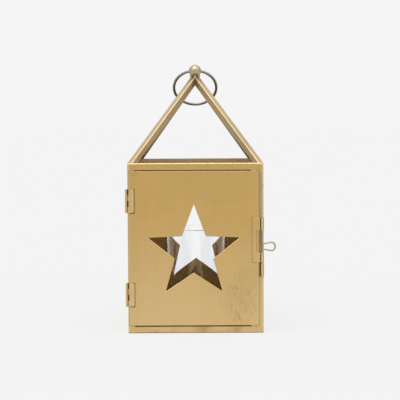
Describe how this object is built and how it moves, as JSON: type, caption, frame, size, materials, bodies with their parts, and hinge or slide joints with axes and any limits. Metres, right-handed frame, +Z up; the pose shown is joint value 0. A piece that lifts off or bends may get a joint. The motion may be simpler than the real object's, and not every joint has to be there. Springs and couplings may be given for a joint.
{
  "type": "lantern",
  "caption": "Square metal candle lantern with star cut-outs, a hinged and bolted door, an open top under pyramid legs, a ball with a carrying ring and a loose glass.",
  "frame": {"origin": "middle of the underside, where the lantern stands", "axes": "+Z up, the door faces -Y, the hinges are at -X and the latch at +X"},
  "size_m": [0.1327, 0.124, 0.2392],
  "materials": {
    "brass_bar": "satin, aged",
    "brass_sheet": "satin, faintly mottled and brushed",
    "brass_fitting": "satin, aged",
    "brass_wire": "dull, dark",
    "clear_glass": "clear, polished"
  },
  "bodies": {
    "frame": {"post_front_left": "brass_bar", "post_front_right": "brass_bar", "post_back_left": "brass_bar", "post_back_right": "brass_bar", "bottom_rail_front": "brass_bar", "bottom_rail_back": "brass_bar", "bottom_rail_left": "brass_bar", "bottom_rail_right": "brass_bar", "top_rail_front": "brass_bar", "top_rail_back": "brass_bar", "top_rail_left": "brass_bar", "top_rail_right": "brass_bar", "roof_leg_front_left": "brass_bar", "roof_leg_front_right": "brass_bar", "roof_leg_back_left": "brass_bar", "roof_leg_back_right": "brass_bar", "ball_finial": "brass_bar", "base_plate": "brass_sheet", "back_panel": "brass_sheet", "left_panel": "brass_sheet", "right_panel": "brass_sheet", "door_stop": "brass_sheet", "glass_seat": "brass_sheet", "upper_hinge_frame_leaf": "brass_fitting", "upper_hinge_pin": "brass_fitting", "lower_hinge_frame_leaf": "brass_fitting", "lower_hinge_pin": "brass_fitting", "latch_strike": "brass_fitting"},
    "door": {"door_panel": "brass_sheet", "upper_hinge_door_leaf": "brass_fitting", "lower_hinge_door_leaf": "brass_fitting", "latch_plate": "brass_fitting"},
    "bolt": {"latch_bolt": "brass_wire"},
    "ring": {"carrying_ring": "brass_wire"},
    "glass": {"glass_cup": "clear_glass"}
  },
  "joints": [
    {"name": "door_swing", "type": "hinge", "parent": "frame", "child": "door", "pos_m": [-0.061, -0.06235, 0.0754], "axis": [0, 0, -1], "range_deg": [0, 240]},
    {"name": "bolt_slide", "type": "slide", "parent": "door", "child": "bolt", "axis": [0, 0, 1], "range_m": [-0.0023, 0.0108]},
    {"name": "ring_swing", "type": "hinge", "parent": "frame", "child": "ring", "pos_m": [0, 0, 0.23336], "axis": [1, 0, 0], "range_deg": [0, 282]},
    {"name": "glass_lift", "type": "slide", "parent": "frame", "child": "glass", "axis": [0, 0, 1], "range_m": [0, 0.06]}
  ]
}
